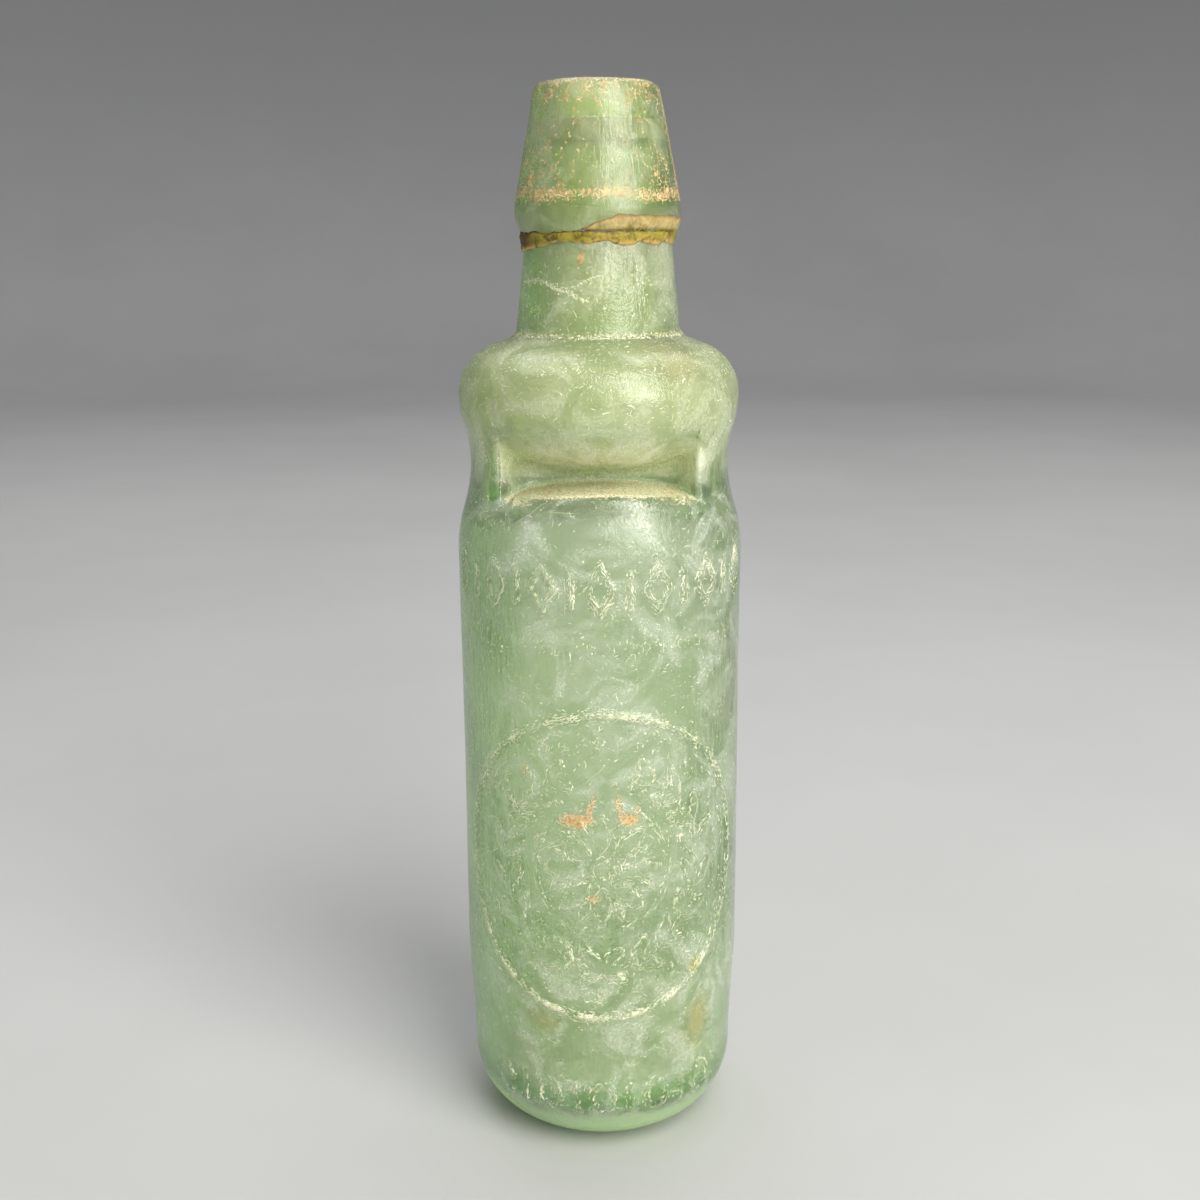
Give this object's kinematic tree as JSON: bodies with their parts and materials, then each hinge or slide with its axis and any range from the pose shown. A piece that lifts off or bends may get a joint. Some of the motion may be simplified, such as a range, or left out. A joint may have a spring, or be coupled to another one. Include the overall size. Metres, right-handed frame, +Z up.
{
  "type": "marble stopper bottle",
  "caption": "Tall aqua-green glass bottle with a pinched throat, a conical applied lip and a glass marble inside that rises to seal against a rubber ring in the mouth.",
  "frame": {"origin": "centre of the resting ring on the bottle's base, on the bottle's axis", "axes": "+Z up along the bottle's axis, -Y towards the front, with the raised ring, +X to the right as seen from the front"},
  "size_m": [0.062, 0.0625, 0.23],
  "materials": {
    "aqua_glass": "aqua-green blown glass, clouded, scratched and dusty",
    "lip_glass": "the same glass, thick and yellower, stained tan at its edges",
    "weld": "rough olive-brown cement or waste glass, crusted",
    "ring_rubber": "perished dark brown rubber",
    "marble_glass": "aqua-green glass, lightly scuffed"
  },
  "bodies": {
    "bottle": {"bottle_body": "aqua_glass", "lip": "lip_glass", "weld_collar": "weld", "rubber_ring": "ring_rubber"},
    "marble": {"marble": "marble_glass"}
  },
  "joints": [
    {"name": "marble_lift", "type": "slide", "parent": "bottle", "child": "marble", "axis": [0, 0, 1], "range_m": [0, 0.0534]}
  ]
}
